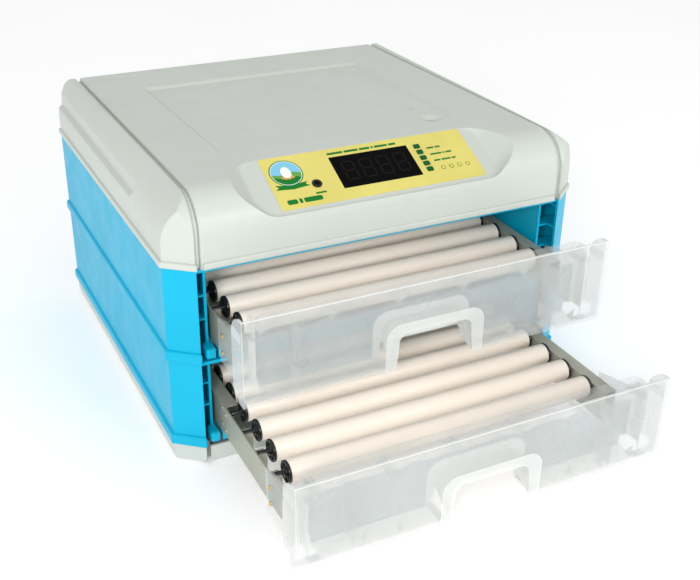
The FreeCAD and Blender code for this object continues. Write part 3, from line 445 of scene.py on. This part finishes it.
# ------------------------------------------------------------------ CAD nodes that stay
def dress_cad():
    plan = {"cover": ["top_cover", "left_side_cap", "right_side_cap"],
            "blue": ["lower_shell", "upper_shell"], "base": ["base_tray"],
            "tray": ["water_tray"], "white": ["inner_ceiling", "sensor_probe"],
            "label": ["control_label"], "display": ["display_window"],
            "black": ["dc_jack", "mains_inlet", "fan_frame", "fan_rotor"],
            "board": ["controller_board"], "case": ["power_supply"],
            "steel": ["fan_guard", "ceiling_screws", "heater"], "lens": ["candler_lens"],
            "key": ["button_%d" % k for k in KEYS]}
    for d in DRAWERS:
        plan[d + "_front"] = [d + "_front"]
        plan.setdefault("rail", []).extend(
            d + "_" + part for part in ("left_rail_front", "left_rail_rear", "right_rail"))
        plan.setdefault("bar", []).append(d + "_rear_bar")
        plan.setdefault("black", []).append(d + "_turning_motor")
        plan.setdefault("chain", []).append(d + "_drive_chain")
    for name, nodes in plan.items():
        for node in nodes:
            dress(node, name)


# ------------------------------------------------------------------ rollers
def roller_mesh():
    """One roller about its own axis: cream tube, black spoked caps, axles and chain wheel."""
    bm = bmesh.new()
    half = ROLLER_HALF * MM
    radius = ROLLER_RADIUS * MM
    bore = ROLLER_BORE * MM
    edge = 0.5 * MM
    tube = [(-half, bore), (-half, radius - edge), (-half + edge, radius),
            (half - edge, radius), (half, radius - edge), (half, bore), (-half, bore)]
    lathe(bm, tube, 48, 0)
    for side in (-1, 1):
        def out(distance):
            return side * (half + distance * MM)

        flange = CAP_RADIUS * MM
        axle_end = side * AXLE_END * MM
        cap = [(out(-6.0), 10.1 * MM), (out(0.05), 10.1 * MM), (out(0.05), flange - edge),
               (out(0.5), flange), (out(2.4), flange), (out(3.0), flange - 0.6 * MM),
               (out(3.0), 10.4 * MM), (out(1.7), 9.9 * MM), (out(1.7), 5.4 * MM),
               (out(3.6), 5.0 * MM), (out(4.2), 4.4 * MM), (out(4.2), 3.1 * MM),
               (out(4.4), AXLE_RADIUS * MM),
               (side * (AXLE_END - 0.6) * MM, AXLE_RADIUS * MM),
               (axle_end, (AXLE_RADIUS - 0.6) * MM), (axle_end, 0.0)]
        lathe(bm, cap, 40, 1)
        for k in range(6):
            spoke = bmesh.ops.create_cube(bm, size=1.0)["verts"]
            turn = Matrix.Rotation(math.radians(60 * k + 30), 4, "X")
            place = Matrix.Translation((out(2.2), 0, 7.6 * MM))
            scale = Matrix.Diagonal((1.2 * MM, 1.1 * MM, 5.0 * MM, 1.0))
            bmesh.ops.transform(bm, matrix=turn @ place @ scale, verts=spoke)
            for face in {f for v in spoke for f in v.link_faces}:
                face.material_index = 1
    wheel = []
    points_per_tooth = 6
    points = WHEEL_TEETH * points_per_tooth
    for k in range(points):
        tooth = WHEEL_TIP if k % points_per_tooth < 3 else WHEEL_ROOT
        angle = 2 * math.pi * k / points
        wheel.append((tooth * MM * math.cos(angle), tooth * MM * math.sin(angle)))
    before = set(bm.verts)
    slab(bm, wheel, WHEEL_X[0] * MM, WHEEL_X[1] * MM, 2)
    fresh = [v for v in bm.verts if v not in before]
    bmesh.ops.transform(bm, matrix=Matrix.Rotation(math.radians(90), 4, "Y"), verts=fresh)
    bmesh.ops.recalc_face_normals(bm, faces=bm.faces)
    mesh = bpy.data.meshes.new("roller")
    bm.to_mesh(mesh)
    bm.free()
    for name in ("roller", "cap", "chain"):
        mesh.materials.append(material(name))
    return mesh


def joint_place(child):
    for joint in frame["joints"]:
        if joint["child"] == child:
            return Vector(joint["pos_m"])
    raise ValueError(child)


def build_rollers():
    mesh = roller_mesh()
    for d in DRAWERS:
        for k in ROLLERS:
            name = "%s_roller_%d" % (d, k)
            piece = bpy.data.objects.new(name + "_turned", mesh)
            COLLECTION.objects.link(piece)
            degrees = 37.0 * k + (11.0 if d == "upper" else 0.0)
            turn = Matrix.Rotation(math.radians(degrees), 4, "X")
            piece.matrix_world = Matrix.Translation(joint_place(name)) @ turn
            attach(piece, name)
            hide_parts(name)


# ------------------------------------------------------------------ control panel prints
def panel_matrix():
    """Panel coordinates (x, up the slope, out) to the row frame, from the label's own box."""
    low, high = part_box("control_label")
    foot = Vector((0.0, low.y, low.z))
    return Matrix.Translation(foot) @ Matrix.Rotation(PANEL_SLOPE, 4, "X")


def lay_on_panel(piece):
    piece.data.transform(panel_matrix())


def print_badge(bm, x, y, base):
    """A round farm scene in layers of ink: sky, two hills and an egg on straw."""
    radius = 18.6
    layer = 0.03

    def ink(outline, index, level):
        slab(bm, [(px * MM, py * MM) for px, py in outline], (base + level * layer) * MM,
             (base + (level + 1) * layer) * MM, index)

    def hill(height, lean, reach):
        """The part of the disc below a gently waved line."""
        points = []
        for k in range(25):
            px = -reach + 2 * reach * k / 24
            points.append((x + px, y + height + lean * px + 1.2 * math.sin(0.28 * px)))
        inner = radius - 1.9
        first = math.atan2(points[-1][1] - y, points[-1][0] - x)
        last = math.atan2(points[0][1] - y, points[0][0] - x)
        if last > 0.0:
            last -= 2 * math.pi
        for k in range(1, 24):
            angle = first + (last - first) * k / 24
            points.append((x + inner * math.cos(angle), y + inner * math.sin(angle)))
        return points[::-1]

    ink(circle_outline(x, y, radius, radius, 56), 0, 0)
    ink(circle_outline(x, y, radius - 1.2, radius - 1.2, 56), 1, 1)
    ink(circle_outline(x, y, radius - 1.9, radius - 1.9, 56), 2, 2)
    ink(hill(-1.0, 0.05, 16.2), 3, 3)
    ink(hill(-6.5, -0.06, 14.9), 0, 4)
    straw = [(x + 7.4 * math.cos(t) * (1.0 + 0.16 * math.cos(9 * t)),
              y - 6.2 + 2.9 * math.sin(t) * (1.0 + 0.16 * math.cos(9 * t)))
             for t in [2 * math.pi * k / 72 for k in range(72)]]
    ink(straw, 4, 5)
    egg = [(x + 5.6 * math.sin(t), y + 0.2 + 7.4 * math.cos(t) * (1.15 if math.cos(t) > 0 else 1.0))
           for t in [2 * math.pi * k / 40 for k in range(40)]]
    ink(egg[::-1], 1, 6)


def print_panel():
    """Generic print without letters: bars for the lines of text, badge, ribbon, row of marks."""
    bm = bmesh.new()
    base = 0.40
    top = 0.46

    def bar(x0, x1, y0, y1):
        corner = min(x1 - x0, y1 - y0) * 0.3
        slab(bm, rounded_outline(x0 * MM, x1 * MM, y0 * MM, y1 * MM, corner * MM, 3),
             base * MM, top * MM, 0)

    def words(x, y, height, lengths, gap=1.6):
        """A line of generic print: one short bar for each word."""
        for length in lengths:
            bar(x, x + length, y, y + height)
            x += length + gap

    words(-45.5, 65.6, 3.0, (19.0, 17.0, 13.0, 2.5, 16.0, 9.0))
    words(72.0, 51.4, 2.3, (9.0, 6.5), 1.4)
    words(72.0, 41.6, 2.3, (14.5, 2.0, 8.0), 1.4)
    words(72.0, 31.8, 2.3, (8.0, 12.0, 5.0), 1.4)
    words(-79.0, 15.0, 2.3, (12.0,))
    words(-114.0, 6.4, 6.4, (11.5, 3.4, 21.0), 2.0)
    for k in range(4):
        x = 78.0 + 10.4 * k
        ring = circle_outline(x * MM, 21.0 * MM, 2.9 * MM, 2.9 * MM, 6 + 6 * (k % 3))
        hole = circle_outline(x * MM, 21.0 * MM, 2.2 * MM, 2.2 * MM, 6 + 6 * (k % 3))
        slab(bm, ring, base * MM, top * MM, 0)
        slab(bm, hole, top * MM, (top + 0.03) * MM, 5)
    print_badge(bm, -100.0, 50.0, top)
    ribbon = [(-119.0, 28.4), (-115.0, 31.4), (-118.2, 34.6), (-109.0, 33.2), (-100.0, 31.8),
              (-91.0, 33.2), (-81.8, 34.6), (-85.0, 31.4), (-81.0, 28.4), (-91.0, 27.6),
              (-100.0, 26.4), (-109.0, 27.6)]
    slab(bm, [(px * MM, py * MM) for px, py in ribbon[::-1]], base * MM, (top + 0.26) * MM, 0)
    bmesh.ops.recalc_face_normals(bm, faces=bm.faces)
    piece = new_piece("panel_print", bm,
                      ["ink_green", "ink_light", "ink_sky", "ink_leaf", "ink_straw", "label"],
                      "cabinet")
    lay_on_panel(piece)


def display_digits():
    """Unlit seven-segment digits behind the smoked window, just visible."""
    bm = bmesh.new()
    z = 0.62 * MM
    long, thick = 11.0, 1.9

    def segment(x, y, upright):
        w, h = (thick, long) if upright else (long, thick)
        slab(bm, rounded_outline((x - w / 2) * MM, (x + w / 2) * MM, (y - h / 2) * MM,
                                 (y + h / 2) * MM, 0.7 * MM, 2), z, z + 0.03 * MM, 0)

    for k in range(4):
        x = -29.0 + 21.0 * k
        for row in (0, 1, 2):
            segment(x, 26.2 + 13.0 * row, False)
        for dx in (-6.6, 6.6):
            for dy in (32.7, 45.7):
                segment(x + dx, dy, True)
    bmesh.ops.recalc_face_normals(bm, faces=bm.faces)
    piece = new_piece("display_digits", bm, ["segment"], "cabinet")
    lay_on_panel(piece)


# ------------------------------------------------------------------ screws and rivets
def head_mesh(kind):
    """A small dome about +Z at the origin: screw head with a dark steel cross as painted shade for
    its recess, or plain rivet.
    """
    bm = bmesh.new()
    radius, height = (2.6, 1.3) if kind == "screw" else (2.2, 1.0)
    profile = [(0.0, radius), (0.25 * height, radius)]
    for k in range(1, 6):
        a = math.radians(18 * k)
        profile.append(((0.25 + 0.75 * math.sin(a)) * height, radius * math.cos(a) * 0.98))
    profile[-1] = (height, 0.0)
    lathe(bm, [(x * MM, max(r, 0.0) * MM) for x, r in profile], 28)
    bmesh.ops.transform(bm, matrix=Matrix.Rotation(math.radians(-90), 4, "Y"), verts=bm.verts)
    bmesh.ops.recalc_face_normals(bm, faces=bm.faces)
    if kind == "screw":
        # painted shade: no recess is cut; a dark steel cross set into the dome stands for the shade
        # in the cross recess
        for turn in (0, 90):
            outline = rounded_outline(-1.5 * MM, 1.5 * MM, -0.28 * MM, 0.28 * MM, 0.2 * MM, 2)
            before = set(bm.verts)
            slab(bm, outline, 1.0 * MM, 1.28 * MM, 1)
            fresh = [v for v in bm.verts if v not in before]
            bmesh.ops.transform(bm, matrix=Matrix.Rotation(math.radians(turn + 20), 4, "Z"),
                                verts=fresh)
    return bm


def build_screws():
    for d in DRAWERS:
        front_low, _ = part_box(d + "_front")
        _, bar_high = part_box(d + "_rear_bar")
        y0, z0 = front_low.y, front_low.z
        places = []
        for side in (-1, 1):
            for height in (36.0, 16.0):
                places.append(("screw", (side * WING_FACE_X * MM, y0 + WING_SCREW_Y * MM,
                                         z0 + height * MM), side))
        for back, height in LAP_RIVETS:
            places.append(("rivet", (-RAIL_FACE_X * MM, y0 + back * MM,
                                     z0 + height * MM), -1))
        for side in (-1, 1):
            for height in (20.0, 38.0):
                places.append(("rivet", (side * BAR_RIVET_X * MM, bar_high.y + 0.02 * MM,
                                         z0 + height * MM), 0))
        for index, (kind, place, side) in enumerate(places):
            bm = head_mesh(kind)
            turn = Matrix.Rotation(math.radians(90 * side), 4, "Y") if side else \
                Matrix.Rotation(math.radians(-90), 4, "X")
            bmesh.ops.transform(bm, matrix=Matrix.Translation(place) @ turn, verts=bm.verts)
            # the screws' second material, dark steel, is the painted shade of their cross recess
            names = ["brass", "chain"] if kind == "screw" else ["steel", "chain"]
            piece = new_piece("%s_%s_%d" % (d, kind, index), bm, names, d + "_drawer")
            if index == 0:
                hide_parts(d + "_screws")


# ------------------------------------------------------------------ floor, light, camera
def build_stage():
    bm = bmesh.new()
    size = 6.0
    low, _ = box_before
    corners = [(-size, -size), (size, -size), (size, size), (-size, size)]
    bm.faces.new([bm.verts.new((x, y, low[2] - 0.0002)) for x, y in corners])
    mesh = bpy.data.meshes.new("floor")
    bm.to_mesh(mesh)
    bm.free()
    floor = bpy.data.objects.new("floor", mesh)
    COLLECTION.objects.link(floor)
    s = Shader("floor_paper")
    tone = s.mix(s.between(s.noise(1.5, 2.0), 0.0, 1.0), (0.955, 0.955, 0.955),
                 (0.975, 0.975, 0.975))
    s.link(tone, s.surface.inputs["Base Color"])
    s.set(Roughness=0.7, Emission_Color=(1.0, 1.0, 1.0, 1.0), Emission_Strength=0.16)
    s.relief(s.noise(400.0, 2.0), 0.1, 0.0001)
    floor.data.materials.append(s.material)


def area_light(name, place, target, size, power):
    light = bpy.data.lights.new(name, "AREA")
    light.shape = "RECTANGLE"
    light.size, light.size_y = size
    light.energy = power
    lamp = bpy.data.objects.new(name, light)
    COLLECTION.objects.link(lamp)
    lamp.location = place
    lamp.rotation_euler = (Vector(target) - Vector(place)).to_track_quat("-Z", "Y").to_euler()


def build_light():
    world = bpy.data.worlds.new("studio")
    bpy.context.scene.world = world
    world.use_nodes = True
    background = world.node_tree.nodes["Background"]
    background.inputs["Color"].default_value = (1.0, 1.0, 1.0, 1.0)
    background.inputs["Strength"].default_value = 0.78
    centre = (0.0, -0.2, 0.15)
    area_light("key_light", (-1.45, -2.1, 1.25), centre, (0.6, 0.6), 27.0)
    area_light("fill_light", (0.9, -2.5, 1.1), centre, (0.9, 0.7), 13.0)


def build_camera():
    scene = bpy.context.scene
    camera = bpy.data.cameras.new("camera")
    camera.lens = FOCAL_LENGTH
    camera.sensor_width = 36.0
    camera.shift_x = SHIFT_X
    camera.shift_y = SHIFT_Y
    eye = bpy.data.objects.new("camera", camera)
    COLLECTION.objects.link(eye)
    a, e, roll = CAMERA_AZIMUTH, CAMERA_ELEVATION, CAMERA_ROLL
    ahead = Vector((math.sin(a) * math.cos(e), math.cos(a) * math.cos(e), -math.sin(e)))
    right = Vector((math.cos(a), -math.sin(a), 0.0))
    up = right.cross(ahead)
    right_rolled = right * math.cos(roll) + up * math.sin(roll)
    up_rolled = up * math.cos(roll) - right * math.sin(roll)
    turn = Matrix((right_rolled, up_rolled, -ahead)).transposed().to_4x4()
    eye.matrix_world = Matrix.Translation(CAMERA_PLACE) @ turn
    scene.camera = eye
    scene.view_settings.view_transform = "Standard"


dress_cad()
build_rollers()
print_panel()
display_digits()
build_screws()
build_stage()
build_light()
build_camera()
